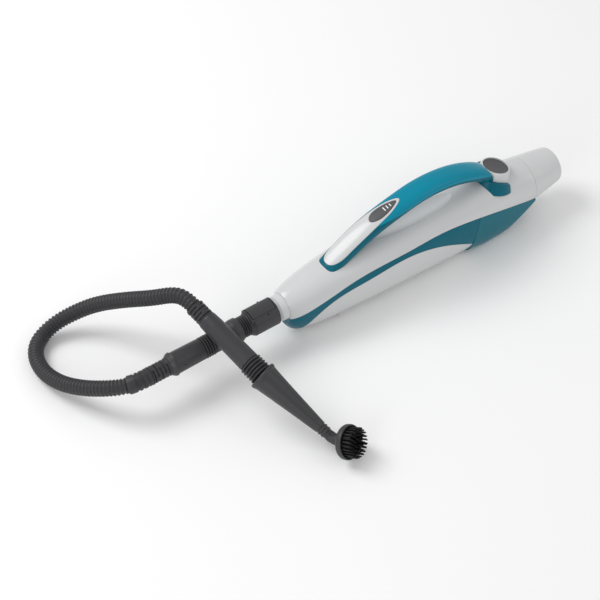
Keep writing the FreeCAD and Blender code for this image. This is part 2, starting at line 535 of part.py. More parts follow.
# ---------------------------------------------------------------- rest pads, screws
PAD_T = 1.5
pads = [block(V(-30, -10, 0), V(30, 10, PAD_T + BELLY_LIFT)),
        block(at(44, -8, -AXIS_H), at(62, 8, -AXIS_H + PAD_T + BELLY_LIFT))]
for pad in pads:
    low = V(pad.BoundBox.XMin - 0.05, pad.BoundBox.YMin - 0.05, -1)
    high = V(pad.BoundBox.XMax + 0.05, pad.BoundBox.YMax + 0.05, pad.BoundBox.ZMax + 0.02)
    lower_shell = lower_shell.cut(block(low, high))
SCREWS = [(80, -13), (80, 13), (S_TANK - 48, -13), (S_TANK - 48, 13)]
SCREW_R = 1.6
HEAD_R = 3.2
screws = []
for s, y in SCREWS:
    foot = at(s, y, 0)
    foot.z = 3.5
    boss = rod(V(foot.x, foot.y, 3.2), V(0, 0, 1), 4.6, 9).common(inner)
    lower_shell = lower_shell.fuse(boss)
    lower_shell = lower_shell.cut(rod(V(foot.x, foot.y, -1), V(0, 0, 1), HEAD_R + 0.2, 6.6))
    lower_shell = lower_shell.cut(rod(V(foot.x, foot.y, 0), V(0, 0, 1), SCREW_R + 0.05, 16))
    head = rod(V(foot.x, foot.y, 3.2), V(0, 0, 1), HEAD_R, 2.4)
    head = head.cut(block(V(foot.x - 2.4, foot.y - 0.4, 3), V(foot.x + 2.4, foot.y + 0.4, 4)))
    head = head.cut(block(V(foot.x - 0.4, foot.y - 2.4, 3), V(foot.x + 0.4, foot.y + 2.4, 4)))
    screws.append(head.fuse(rod(V(foot.x, foot.y, 5.6), V(0, 0, 1), SCREW_R, 7)))
parts["rest_pads"] = Part.makeCompound(pads)
parts["shell_screws"] = Part.makeCompound(screws)

# ---------------------------------------------------------------- inlet for the mains lead
GLAND_BORE = 3.6
gland_s = S_SEAM - 14
gland_y = smooth(STATIONS, WIDE, gland_s)
gland = turned([(-5, GLAND_BORE), (-5, 6.4), (-WALL - 0.9, 6.4), (-WALL - 0.9, 5.4), (0.6, 5.4), (0.6, 7.2),
                (3.2, 6.4), (3.2, GLAND_BORE)], at(gland_s, gland_y, 8), V(0, 1, 0))
gland_room = turned([(-9, 0), (-9, 6.5), (-WALL - 0.8, 6.5), (-WALL - 0.8, 5.5), (0.5, 5.5), (0.5, 7.3),
                     (6, 7.3), (6, 0)], at(gland_s, gland_y, 8), V(0, 1, 0))
upper_shell = main_solid(upper_shell.cut(gland_room))
parts["lead_gland"] = gland

parts["upper_shell"] = upper_shell
parts["lower_shell"] = main_solid(lower_shell)
parts["side_band"] = side_band

# ---------------------------------------------------------------- inside: boiler, pump, board
BOILER_R = 18.0
BOILER_S = 66.0
BOILER_LEN = 80.0
boiler = turned([(0, 0), (0, 9), (3, BOILER_R - 3), (5, BOILER_R), (BOILER_LEN - 4, BOILER_R),
                 (BOILER_LEN - 4, BOILER_R + 2), (BOILER_LEN, BOILER_R + 2), (BOILER_LEN, 0)],
                at(BOILER_S), V(1, 0, 0))
boiler_end = BOILER_S + BOILER_LEN
boiler = boiler.cut(rod(at(BOILER_S - 1), V(1, 0, 0), STEAM_R - 1.2, 5))
parts["boiler"] = boiler
cover = turned([(0, 0), (0, BOILER_R + 2), (3, BOILER_R + 2), (5, BOILER_R - 2), (5, 0)],
               at(boiler_end), V(1, 0, 0))
parts["boiler_cover"] = cover
pins = [rod(at(boiler_end + 5, y, 8), V(1, 0, 0), 2.0, 8) for y in (-9, 9)]
parts["heater_terminals"] = Part.makeCompound(pins)
parts["thermostat"] = turned([(0, 0), (0, 8), (4, 8), (4, 5), (7, 5), (7, 0)],
                             at(BOILER_S + 48, 0, BOILER_R), V(0, 0, 1))
parts["thermal_fuse"] = rod(at(BOILER_S + 20, -5, BOILER_R + 1.6), V(0, 1, 0), 1.6, 10)
parts["steam_tube"] = turned([(FLANGE_S, STEAM_R - 1.2), (FLANGE_S, STEAM_R + 1.5), (BOILER_S, STEAM_R + 1.5),
                              (BOILER_S, STEAM_R - 1.2)], at(0), V(1, 0, 0))
PUMP_S = boiler_end + 26
PUMP_R = 12.0
PUMP_LEN = 42.0
pump = turned([(0, 1.5), (0, 5), (8, 5), (8, PUMP_R), (PUMP_LEN - 8, PUMP_R), (PUMP_LEN - 8, 5),
               (PUMP_LEN, 5), (PUMP_LEN, 3.5), (12, 3.5), (12, 1.5)], at(PUMP_S, 0, PUMP_Z), V(1, 0, 0))
parts["pump_body"] = pump
parts["pump_plunger"] = rod(at(PUMP_S + 16, 0, PUMP_Z), V(1, 0, 0), 3.5 - RUN_FIT, 20)
bracket = block(at(PUMP_S + 12, -PUMP_R - 2.5, PUMP_Z - 7), at(PUMP_S + 22, PUMP_R + 2.5, PUMP_Z + 7))
parts["pump_mount"] = main_solid(bracket.cut(rod(at(PUMP_S, 0, PUMP_Z), V(1, 0, 0), PUMP_R + 0.05, 60)))
link_len = math.hypot(PUMP_S - boiler_end - 5, PUMP_Z)
link = (at(PUMP_S, 0, PUMP_Z) - at(boiler_end + 5, 0, 0)).normalize()
parts["pump_tube"] = turned([(2, 1.4), (2, TUBE_R), (link_len - 2, TUBE_R), (link_len - 2, 1.4)],
                            at(boiler_end + 5), link)
feed_tube = turned([(PUMP_S + PUMP_LEN, 1.4), (PUMP_S + PUMP_LEN, TUBE_R), (S_TANK, TUBE_R), (S_TANK, 1.4)],
                   at(0, 0, PUMP_Z), V(1, 0, 0))
parts["feed_tube"] = main_solid(feed_tube.cut(tank_front(0)))
BOARD_S = boiler_end + 16
board = block(at(BOARD_S, -18, 8), at(BOARD_S + 70, 18, 9.6))
board = board.fuse(block(at(BOARD_S + 6, -12, 9.6), at(BOARD_S + 22, 2, 20)))
board = board.fuse(rod(at(BOARD_S + 34, 8, 9.6), V(0, 0, 1), 5, 12))
board = board.fuse(block(at(BOARD_S + 44, -14, 9.6), at(BOARD_S + 60, -4, 15)))
parts["control_board"] = board
parts["terminal_block"] = block(at(S_TANK - 34, 14, -6), at(S_TANK - 14, 24, 3))

# ---------------------------------------------------------------- hose coupling
LATCH_HALF = 9.0
LATCH_LEN = 31.0
X_BACK = V(-1, 0, 0)
coupler = turned([
    (0, SPIGOT_R + 0.4), (0, COUPLER_R - 0.6), (0.8, COUPLER_R), (COUPLER_LEN - 6, COUPLER_R),
    (COUPLER_LEN - 1, SLEEVE_R + 0.6), (COUPLER_LEN, SLEEVE_R - 0.2), (COUPLER_LEN, HOSE_BORE),
    (SPIGOT_LEN + 2, HOSE_BORE), (SPIGOT_LEN + 2, SPIGOT_R + 0.4),
], at(0), X_BACK)
top_pad = block(at(-COUPLER_LEN + 1.5, -LATCH_HALF - 1.6, 0), at(-0.5, LATCH_HALF + 1.6, COUPLER_R + 0.4))
top_pad = top_pad.cut(rod(at(-BIG / 2), V(1, 0, 0), SPIGOT_R + 0.4, BIG))
coupler = coupler.fuse(top_pad.common(rod(at(-BIG / 2), V(1, 0, 0), COUPLER_R + 0.9, BIG)))
pocket_low = SPIGOT_R + 1.8
pocket = block(at(-LATCH_LEN - 3.8, -LATCH_HALF - 0.3, pocket_low), at(-2.2, LATCH_HALF + 0.3, 30))
coupler = coupler.cut(pocket)
latch_s = -14.0
latch_z = SPIGOT_R + 3.4
LATCH_PIN_R = 1.1
coupler = coupler.cut(rod(at(latch_s, -20, latch_z), V(0, 1, 0), LATCH_PIN_R + 0.01, 40))
parts["coupler"] = main_solid(coupler)
plate = block(at(-LATCH_LEN - 3, -LATCH_HALF, latch_z - 0.2), at(-3, LATCH_HALF, COUPLER_R + 2))
plate = plate.common(rod(at(-BIG / 2), V(1, 0, 0), COUPLER_R + 1.3, BIG))
lug = block(at(latch_s - 2.6, -5, latch_z - 1.2), at(latch_s + 2.6, 5, latch_z + 1))
plate = plate.fuse(lug)
plate = plate.cut(rod(at(latch_s, -20, latch_z), V(0, 1, 0), LATCH_PIN_R + RUN_FIT, 40))
parts["coupler_latch"] = main_solid(plate)
parts["latch_pin"] = rod(at(latch_s, -11.6, latch_z), V(0, 1, 0), LATCH_PIN_R, 23.2)

X0 = COUPLER_LEN
parts["coupler_bellows"] = turned(ribbed(X0, X0 + 9, 3, SLEEVE_R + 0.4, SLEEVE_R - 1.4, HOSE_BORE), at(0), X_BACK)
X1 = X0 + 9
ADAPTER_LEN = 38.0
parts["adapter_tube"] = turned([
    (X1, HOSE_BORE), (X1, SLEEVE_R), (X1 + 2, SLEEVE_R + 1.9), (X1 + 9, SLEEVE_R + 1.9),
    (X1 + 16, SLEEVE_R + 0.2), (X1 + ADAPTER_LEN, SLEEVE_R - 0.2), (X1 + ADAPTER_LEN, HOSE_BORE),
], at(0), X_BACK)
X2 = X1 + ADAPTER_LEN
parts["adapter_bellows"] = turned(ribbed(X2, X2 + 13, 4, SLEEVE_R + 0.5, SLEEVE_R - 1.6, HOSE_BORE), at(0), X_BACK)
X3 = X2 + 13
SLEEVE_LEN = 38.0
COLLAR_LEN = 7.0
sleeve = turned([
    (X3, HOSE_BORE), (X3, SLEEVE_R - 0.8), (X3 + 1, SLEEVE_R), (X3 + SLEEVE_LEN, SLEEVE_R + 0.5),
    (X3 + SLEEVE_LEN, HOSE_BORE)], at(0), X_BACK)
parts["hose_sleeve"] = sleeve.cut(rod(at(-X3 - SLEEVE_LEN + 9, -SLEEVE_R - 2, 3.5), V(0, 1, 0), 0.9, 5))
X4 = X3 + SLEEVE_LEN
parts["sleeve_collar"] = turned([
    (X4, HOSE_BORE), (X4, SLEEVE_R + 1.2), (X4 + 0.8, SLEEVE_R + 1.7), (X4 + 3, SLEEVE_R + 1.2),
    (X4 + COLLAR_LEN, HOSE_R + 1.6), (X4 + COLLAR_LEN, HOSE_BORE)], at(0), X_BACK)
X5 = X4 + COLLAR_LEN
CUFF_LEN = 24.0
parts["hose_cuff_front"] = turned(ribbed(X5, X5 + CUFF_LEN, 6, HOSE_R + 1.5, HOSE_R + 0.5, HOSE_BORE), at(0), X_BACK)
X6 = X5 + CUFF_LEN

# ---------------------------------------------------------------- wand, nozzle and brush
WAND_REAR = V(-237.0, 4.4, 86.5)
WAND_JOINT = V(-221.4, -78.0, 61.0)
BRUSH_AXIS = V(0.383, -0.822, 0.42).normalize()
BRUSH_BASE = V(-183.4, -180.3, 19.2)
ELBOW_LEG = 9.0
wand_dir = (WAND_JOINT - WAND_REAR).normalize()
wand_len = (WAND_JOINT - WAND_REAR).Length
elbow_corner = BRUSH_BASE - BRUSH_AXIS * (ELBOW_LEG + 2.0)
cone_dir = (elbow_corner - WAND_JOINT).normalize()
cone_len = (elbow_corner - WAND_JOINT).Length - ELBOW_LEG
BELLOWS_LEN = 18.0
WAND_CUFF = 20.0
parts["hose_cuff_rear"] = turned(ribbed(-WAND_CUFF, 0, 5, HOSE_R + 1.7, HOSE_R + 0.7, HOSE_BORE),
                                 WAND_REAR, wand_dir)
body_end = wand_len - BELLOWS_LEN
parts["wand_body"] = turned([
    (0, HOSE_BORE), (0, WAND_R - 1.2), (1.5, WAND_R - 0.6), (14, WAND_R), (body_end - 2, WAND_R + 0.6),
    (body_end, WAND_R), (body_end, HOSE_BORE)], WAND_REAR, wand_dir)
wand_bellows = turned(ribbed(body_end, wand_len - 1.2, 4, WAND_R + 2.2, WAND_R - 0.4, HOSE_BORE)[:-2] + [
    (wand_len + 4, WAND_R - 0.4), (wand_len + 4, HOSE_BORE)], WAND_REAR, wand_dir)
cone_room = block(V(0, -40, -40), V(40, 40, 40))
cone_room.Placement = FreeCAD.Placement(WAND_JOINT + cone_dir * 0.6, FreeCAD.Rotation(V(1, 0, 0), cone_dir))
parts["wand_bellows"] = main_solid(wand_bellows.cut(cone_room))
parts["cone_nozzle"] = turned([
    (0.6, HOSE_BORE), (0.6, WAND_R + 2), (1.4, CONE_FOOT_R - 0.6), (2.6, CONE_FOOT_R), (4.6, CONE_FOOT_R - 0.3),
    (7, CONE_FOOT_R - 1.8), (cone_len - 12, CONE_TIP_R + 0.6), (cone_len - 11.4, CONE_TIP_R - 0.4),
    (cone_len - 10, CONE_TIP_R - 0.4), (cone_len - 9.4, CONE_TIP_R + 0.3), (cone_len - 7, CONE_TIP_R + 0.2),
    (cone_len - 6.4, CONE_TIP_R - 0.6), (cone_len, CONE_TIP_R - 0.6), (cone_len, 3.0), (cone_len - 12, 3.0),
], WAND_JOINT, cone_dir)

elbow_turn = cone_dir.getAngle(BRUSH_AXIS)
elbow_r = ELBOW_LEG / math.tan(elbow_turn / 2)
arc_start = elbow_corner - cone_dir * ELBOW_LEG
arc_end = elbow_corner + BRUSH_AXIS * ELBOW_LEG
inward = (BRUSH_AXIS - cone_dir * cone_dir.dot(BRUSH_AXIS)).normalize()
arc_centre = arc_start + inward * elbow_r
arc_mid = arc_centre + ((arc_start - arc_centre) + (arc_end - arc_centre)).normalize() * elbow_r
elbow_path = Part.Wire([Part.Arc(arc_start, arc_mid, arc_end).toShape()])
neck_r = CONE_TIP_R - 0.2
ring = Part.Wire([Part.makeCircle(neck_r, arc_start, cone_dir)])
elbow = elbow_path.makePipeShell([ring], True, True)
hole_ring = Part.Wire([Part.makeCircle(3.0, arc_start, cone_dir)])
elbow = elbow.cut(elbow_path.makePipeShell([hole_ring], True, True))
BRUSH_SPIGOT = 5.0
elbow = elbow.fuse(turned([(0, 3.0), (0, BRUSH_SPIGOT), (7.5, BRUSH_SPIGOT), (7.5, 3.0)], arc_end, BRUSH_AXIS))
parts["nozzle_elbow"] = main_solid(elbow)
parts["brush_cup"] = turned([
    (-1.7, BRUSH_SPIGOT + RUN_FIT), (-1.7, neck_r + 0.6), (-0.4, 12), (0.6, BRUSH_R - 3.5), (2.2, BRUSH_R - 1.2),
    (4.5, BRUSH_R), (9.5, BRUSH_R), (10, BRUSH_R - 0.5), (10, BRUSH_R - 1.8), (6.6, BRUSH_R - 2.2),
    (6.6, 3.0), (5.8, 3.0), (5.8, BRUSH_SPIGOT + RUN_FIT),
], BRUSH_BASE, BRUSH_AXIS)
BRISTLE_RINGS = [(15.8, 22), (11.4, 16), (7.0, 10)]
across = BRUSH_AXIS.cross(V(0, 0, 1)).normalize()
upward = across.cross(BRUSH_AXIS).normalize()
bristles = []
for ring_r, count in BRISTLE_RINGS:
    for k in range(count):
        turn = 2 * math.pi * k / count
        spot = BRUSH_BASE + BRUSH_AXIS * 6.6
        spot = spot + across * (ring_r * math.cos(turn)) + upward * (ring_r * math.sin(turn))
        bristles.append(rod(spot, BRUSH_AXIS, 1.0, BRISTLE_LEN))
parts["brush_bristles"] = Part.makeCompound(bristles)

# ---------------------------------------------------------------- steam hose
hose_start = at(-X6)
hose_end = WAND_REAR - wand_dir * WAND_CUFF
ROUTE = [hose_start, hose_start - V(16, 0, 0), V(-349, 6.5, 45), V(-364, 20, 39.5), V(-380, 43, 29),
         V(-392, 70, 19), V(-397, 98, 12), V(-394.5, 122, 9.7), V(-385.5, 140, 9.7), V(-371, 150.5, 11),
         V(-351, 153, 17.5), V(-329, 145.5, 28.5), V(-307, 129.5, 44), V(-286, 101, 63), V(-267, 70, 81.5),
         V(-250.5, 51.5, 93.5), hose_end - wand_dir * 15, hose_end]


def rounded_path(points):
    """Straight runs joined by tangent arcs, each as large as its two runs allow."""
    edges = []
    radii = []
    here = points[0]
    for before, corner, after in zip(points, points[1:], points[2:]):
        into = (corner - before).normalize()
        out = (after - corner).normalize()
        turn = into.getAngle(out)
        leg = 0.45 * min((corner - before).Length, (after - corner).Length)
        radius = leg / math.tan(turn / 2)
        start = corner - into * leg
        end = corner + out * leg
        side = (out - into * into.dot(out)).normalize()
        centre = start + side * radius
        middle = centre + ((start - centre) + (end - centre)).normalize() * radius
        edges.append(Part.LineSegment(here, start).toShape())
        edges.append(Part.Arc(start, middle, end).toShape())
        radii.append(round(radius, 1))
        here = end
    edges.append(Part.LineSegment(here, points[-1]).toShape())
    return Part.Wire(edges), radii


hose_wire, hose_radii = rounded_path(ROUTE)
hose_ring = Part.Wire([Part.makeCircle(HOSE_R, hose_start, (ROUTE[1] - ROUTE[0]).normalize())])
hose = hose_wire.makePipeShell([hose_ring], True, False)
wanted = math.pi * HOSE_R ** 2 * hose_wire.Length
print("hose length", round(hose_wire.Length, 1), "arc radii", hose_radii)
print("hose volume over section times length", round(hose.Volume / wanted, 4))
parts["steam_hose"] = hose

# ---------------------------------------------------------------- write every piece
os.makedirs("parts", exist_ok=True)
for name, shape in parts.items():
    if not shape.isValid():
        print("not valid:", name)
    shape.exportStep("parts/" + name + ".step")
    print(name, len(shape.Solids), round(shape.Volume, 1))
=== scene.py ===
# %% [markdown]
# # Hand unit of a steam mop, with its hose, wand and round brush
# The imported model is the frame. It holds every size, joint and resting place, and each piece made
# here is fitted to it. The work runs from the camera and the hose, through the finishes, to the
# small parts that are worth looking at closely.

# %% Load the frame
import json
import math
import bpy
import numpy as np
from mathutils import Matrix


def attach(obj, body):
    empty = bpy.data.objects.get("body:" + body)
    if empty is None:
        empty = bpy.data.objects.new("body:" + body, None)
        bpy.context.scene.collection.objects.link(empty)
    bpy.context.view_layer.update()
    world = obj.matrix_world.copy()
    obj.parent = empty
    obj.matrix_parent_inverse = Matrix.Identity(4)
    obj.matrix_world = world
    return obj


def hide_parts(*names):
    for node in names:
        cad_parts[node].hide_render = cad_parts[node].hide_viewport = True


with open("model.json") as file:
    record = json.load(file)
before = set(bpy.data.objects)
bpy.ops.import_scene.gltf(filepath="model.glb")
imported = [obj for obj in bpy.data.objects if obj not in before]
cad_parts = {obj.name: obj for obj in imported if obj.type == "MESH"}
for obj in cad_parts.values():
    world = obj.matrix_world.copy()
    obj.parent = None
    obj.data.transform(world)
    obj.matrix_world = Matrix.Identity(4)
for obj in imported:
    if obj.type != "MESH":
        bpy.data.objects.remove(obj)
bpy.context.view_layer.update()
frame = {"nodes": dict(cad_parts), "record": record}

# %% [markdown]
# The camera looks down on the unit from the outlet's near side with a long lens, so the body
# shows its top and its near flank and hardly tapers.

# %% Camera
AZIMUTH = math.radians(-35.6)
ELEVATION = math.radians(48.0)
DISTANCE = 2.2
LENS = 115.8
AIM = np.array([-0.150, 0.0, 0.048])
AIM_RIGHT = -0.0304
AIM_UP = -0.0120

back = np.array([math.sin(AZIMUTH) * math.cos(ELEVATION), -math.cos(AZIMUTH) * math.cos(ELEVATION),
                 math.sin(ELEVATION)])
right = np.array([math.cos(AZIMUTH), math.sin(AZIMUTH), 0.0])
up = np.cross(back, right)
camera = bpy.data.objects.new("camera", bpy.data.cameras.new("camera"))
bpy.context.scene.collection.objects.link(camera)
camera.data.lens = LENS
camera.data.sensor_width = 36
camera.location = AIM + back * DISTANCE - right * AIM_RIGHT - up * AIM_UP
camera.rotation_euler = (math.pi / 2 - ELEVATION, 0, AZIMUTH)
bpy.context.scene.camera = camera
bpy.context.scene.view_settings.view_transform = "Standard"
print("camera at", [round(c, 3) for c in camera.location])

# %% [markdown]
# The floor is a wide pale sheet. Light comes from one broad panel high behind the unit, as in a
# product studio, with a weaker panel on the near side to fill the shadows.

# %% Floor and lights
floor_mesh = bpy.data.meshes.new("floor")
FLOOR_HALF = 6.0
floor_mesh.from_pydata([(-FLOOR_HALF, -FLOOR_HALF, -0.0002), (FLOOR_HALF, -FLOOR_HALF, -0.0002),
                        (FLOOR_HALF, FLOOR_HALF, -0.0002), (-FLOOR_HALF, FLOOR_HALF, -0.0002)],
                       [], [(0, 1, 2, 3)])
floor = bpy.data.objects.new("floor", floor_mesh)
bpy.context.scene.collection.objects.link(floor)
floor_paint = bpy.data.materials.new("floor_paint")
floor_paint.use_nodes = True
floor_paint.node_tree.nodes["Principled BSDF"].inputs["Base Color"].default_value = (0.93, 0.93, 0.93, 1)
floor_paint.node_tree.nodes["Principled BSDF"].inputs["Roughness"].default_value = 0.9
floor_paint.node_tree.nodes["Principled BSDF"].inputs["Specular IOR Level"].default_value = 0.1
floor_mesh.materials.append(floor_paint)


def light_panel(name, place, target, width, watts):
    """Square lamp at place, turned so that its face looks at target."""
    lamp = bpy.data.lights.new(name, "AREA")
    lamp.size = width
    lamp.energy = watts
    panel = bpy.data.objects.new(name, lamp)
    panel.location = place
    aim = np.array(target) - np.array(place)
    flat = math.hypot(aim[0], aim[1])
    panel.rotation_euler = (math.pi / 2 + math.atan2(aim[2], flat), 0, math.atan2(-aim[0], aim[1]))
    bpy.context.scene.collection.objects.link(panel)
    return panel


light_panel("key_panel", (-1.0, 1.2, 1.9), (0, 0, 0), 1.2, 27)
light_panel("fill_panel", (1.3, -1.6, 1.5), (0, 0, 0), 1.6, 6)
light_panel("edge_panel", (-1.7, -0.9, 0.9), (0, 0, 0), 0.9, 5)
world = bpy.data.worlds.new("studio")
world.use_nodes = True
world.node_tree.nodes["Background"].inputs["Color"].default_value = (1.0, 1.0, 1.0, 1)
world.node_tree.nodes["Background"].inputs["Strength"].default_value = 0.62
bpy.context.scene.world = world

# %% [markdown]
# Moulded plastic is never one flat colour. Each finish below has a soft drift of tone over a few
# centimetres, a fine moulded grain in its bump, and a roughness that wanders a little, all worked
# out from Object coordinates so that they stay put on every piece.

# %% Finishes
finishes = {}


def shade(colour, amount):
    """Colour brightened or darkened by amount, as the four values that a ramp takes."""
    return tuple(min(1.0, c * (1 + amount)) for c in colour) + (1,)


def moulded(name, colour, rough, drift=0.04, grain=900.0, grain_depth=0.02, coat=0.0, clear=0.0,
            metal=0.0, shine=0.5):
    """Plastic, rubber or metal: drifting tone, fine grain and wandering roughness."""
    material = bpy.data.materials.new(name)
    material.use_nodes = True
    nodes = material.node_tree.nodes
    links = material.node_tree.links
    shader = nodes["Principled BSDF"]
    shader.inputs["Metallic"].default_value = metal
    shader.inputs["Coat Weight"].default_value = coat
    shader.inputs["Coat Roughness"].default_value = 0.08
    shader.inputs["Transmission Weight"].default_value = clear
    shader.inputs["Specular IOR Level"].default_value = shine
    shader.inputs["IOR"].default_value = 1.47
    place = nodes.new("ShaderNodeTexCoord")
    cloud = nodes.new("ShaderNodeTexNoise")
    cloud.inputs["Scale"].default_value = 14.0
    cloud.inputs["Detail"].default_value = 3.0
    links.new(place.outputs["Object"], cloud.inputs["Vector"])
    tone = nodes.new("ShaderNodeValToRGB")
    tone.color_ramp.elements[0].position = 0.3
    tone.color_ramp.elements[1].position = 0.7
    tone.color_ramp.elements[0].color = shade(colour, -drift)
    tone.color_ramp.elements[1].color = shade(colour, drift)
    links.new(cloud.outputs["Fac"], tone.inputs["Fac"])
    links.new(tone.outputs["Color"], shader.inputs["Base Color"])
    wander = nodes.new("ShaderNodeMapRange")
    wander.inputs["To Min"].default_value = max(0.02, rough - 0.05)
    wander.inputs["To Max"].default_value = rough + 0.05
    links.new(cloud.outputs["Fac"], wander.inputs["Value"])
    links.new(wander.outputs["Result"], shader.inputs["Roughness"])
    speck = nodes.new("ShaderNodeTexNoise")
    speck.inputs["Scale"].default_value = grain
    speck.inputs["Detail"].default_value = 2.0
    links.new(place.outputs["Object"], speck.inputs["Vector"])
    bump = nodes.new("ShaderNodeBump")
    bump.inputs["Strength"].default_value = grain_depth
    bump.inputs["Distance"].default_value = 0.0004
    links.new(speck.outputs["Fac"], bump.inputs["Height"])
    links.new(bump.outputs["Normal"], shader.inputs["Normal"])
    finishes[name] = material
    return material


moulded("white_gloss", (0.61, 0.615, 0.62), 0.24, drift=0.012, grain_depth=0.01, coat=0.2, shine=0.4)
moulded("teal_gloss", (0.0, 0.235, 0.345), 0.26, coat=0.12, grain_depth=0.015, shine=0.16)
# Painted shade: the same teal plastic as teal_gloss, made darker to stand in for the shade on the handle's
# less lit faces.
moulded("teal_painted_shade_gloss", (0.0, 0.118, 0.170), 0.28, coat=0.10, grain_depth=0.015, shine=0.14)
moulded("teal_clear", (0.0, 0.150, 0.205), 0.10, clear=0.12, grain_depth=0.01, coat=0.12, shine=0.16)
moulded("charcoal_satin", (0.036, 0.036, 0.039), 0.42, drift=0.06, grain_depth=0.09)
moulded("dark_grey_satin", (0.075, 0.075, 0.08), 0.35, drift=0.05, grain_depth=0.06)
moulded("hose_satin", (0.030, 0.030, 0.033), 0.44, drift=0.08, grain_depth=0.12)
moulded("black_rubber", (0.018, 0.018, 0.018), 0.7, drift=0.1, grain=1400.0, grain_depth=0.25)
moulded("bristle_nylon", (0.010, 0.010, 0.011), 0.4, drift=0.1, grain_depth=0.05)
moulded("mark_white", (0.85, 0.86, 0.86), 0.5, drift=0.01)
moulded("steel", (0.55, 0.55, 0.56), 0.3, metal=1.0, grain_depth=0.05)
moulded("cast_alloy", (0.6, 0.6, 0.61), 0.5, metal=1.0, grain=500.0, grain_depth=0.3)
moulded("brass", (0.7, 0.5, 0.2), 0.35, metal=1.0)
moulded("board_green", (0.02, 0.12, 0.05), 0.45, drift=0.1)
moulded("inner_grey", (0.35, 0.36, 0.37), 0.5, drift=0.03, grain_depth=0.05)
moulded("clear_tube", (0.6, 0.6, 0.57), 0.3, clear=0.5)

SLOT_FINISH = {
    "white_plastic": "white_gloss", "teal_plastic": "teal_gloss",
    # The deep teal slot takes the teal with painted shade.
    "deep_teal_plastic": "teal_painted_shade_gloss", "teal_clear": "teal_clear",
    "charcoal_plastic": "charcoal_satin", "dark_grey_plastic": "dark_grey_satin",
    "black_rubber": "black_rubber", "hose_rubber": "hose_satin", "bristle": "bristle_nylon",
    "white_mark": "mark_white", "spring_steel": "steel", "cast_alloy": "cast_alloy", "brass": "brass",
    "board": "board_green", "inner_grey": "inner_grey", "clear_tube": "clear_tube",
}
for entry in frame["record"]["subparts"]:
    node = frame["nodes"].get(entry["node"])
    if node is None:
        print("no such node:", entry["node"])
        continue
    for place in node.material_slots:
        place.material = finishes[SLOT_FINISH[entry["material_slot"]]]
for place in frame["nodes"]["latch_pin"].material_slots:
    place.material = finishes["black_rubber"]
print(len(finishes), "finishes")

# %% [markdown]
# Most small parts here are turned: a profile of distances and radii carried round an axis. The
# others are tubes, whose rings follow a path. Both are one grid of points, worked out as whole
# arrays, with a centre point closing each end.

# %% Grids, turned parts and tubes
SEGMENTS = 64


def grid_piece(name, rings, finish, body, crease=40.0):
    """Closed skin over rings[i, j]: ring i joins i + 1, point j joins j + 1, ends close to a centre."""
    count, around = rings.shape[:2]
    points = np.vstack([rings.reshape(-1, 3), rings[0].mean(0), rings[-1].mean(0)])
    i, j = np.meshgrid(np.arange(count - 1), np.arange(around), indexing="ij")
    a = (i * around + j).ravel()
    b = (i * around + (j + 1) % around).ravel()
    walls = np.stack([a, b, b + around, a + around], 1)
    rim = np.arange(around)
    nxt = (rim + 1) % around
    last = (count - 1) * around
    near_cap = np.stack([np.full(around, count * around), nxt, rim], 1)
    far_cap = np.stack([np.full(around, count * around + 1), last + rim, last + nxt], 1)
    mesh = bpy.data.meshes.new(name)
    mesh.from_pydata(points, [], walls.tolist() + near_cap.tolist() + far_cap.tolist())
    mesh.polygons.foreach_set("use_smooth", np.ones(len(mesh.polygons), bool))
    mesh.set_sharp_from_angle(angle=math.radians(crease))
    mesh.materials.append(finishes[finish])
    piece = bpy.data.objects.new(name, mesh)
    bpy.context.scene.collection.objects.link(piece)
    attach(piece, body)
    print(name, len(mesh.polygons), "faces")
    return piece


def square_to(direction):
    """Two unit directions square to direction and to each other."""
    axis = direction / np.linalg.norm(direction)
    spare = np.array([0.0, 0.0, 1.0]) if abs(axis[2]) < 0.9 else np.array([1.0, 0.0, 0.0])
    across = np.cross(axis, spare)
    across /= np.linalg.norm(across)
    return across, np.cross(axis, across)


def turned_rings(profile, origin, direction, radius_scale=None):
    """Rings: origin + direction * distance + radius * (across cos t + upward sin t), t a full turn.

    profile rows are (distance, radius) in millimetres; radius_scale, if given, is a share for each
    row and angle that presses grooves or slots into the surface.
    """
    axis = direction / np.linalg.norm(direction)
    across, upward = square_to(axis)
    t = np.linspace(0, 2 * math.pi, SEGMENTS, endpoint=False)
    circle = np.cos(t)[:, None] * across + np.sin(t)[:, None] * upward
    radius = profile[:, 1][:, None] * np.ones(SEGMENTS)
    if radius_scale is not None:
        radius = radius * radius_scale
    along = profile[:, 0][:, None, None] * axis
    return origin + 0.001 * (along + radius[:, :, None] * circle)


def soft_profile(corners, rounding=0.35, steps=4):
    """Profile through corners with each corner cut by a small arc: a quadratic curve over rounding mm."""
    corners = np.array(corners, float)
    rows = [corners[0]]
    share = np.linspace(0, 1, steps)[:, None]
    for before, corner, after in zip(corners, corners[1:], corners[2:]):
        leg = min(rounding, 0.45 * np.linalg.norm(corner - before), 0.45 * np.linalg.norm(after - corner))
        start = corner + (before - corner) / np.linalg.norm(before - corner) * leg
        end = corner + (after - corner) / np.linalg.norm(after - corner) * leg
        rows.extend((1 - share) ** 2 * start + 2 * share * (1 - share) * corner + share ** 2 * end)
    rows.append(corners[-1])
    return np.array(rows)


def rib_wave(distance, pitch, root, crest, sharpness=0.7):
    """Radius of round ribs: root + (crest - root) * (0.5 - 0.5 cos(2 pi distance / pitch)) ** sharpness."""
    wave = 0.5 - 0.5 * np.cos(2 * math.pi * distance / pitch)
    return root + (crest - root) * wave ** sharpness


# %% [markdown]
# The steam hose is a corrugated rubber tube, about 19 mm across and 0.42 m long. It leaves the
# straight adapter chain, lies in one loop on the floor and climbs to the rear of the wand. Its
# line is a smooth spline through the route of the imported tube. The rings are real geometry, one
# every 4.4 mm, because their scalloped edge is what the eye reads first.

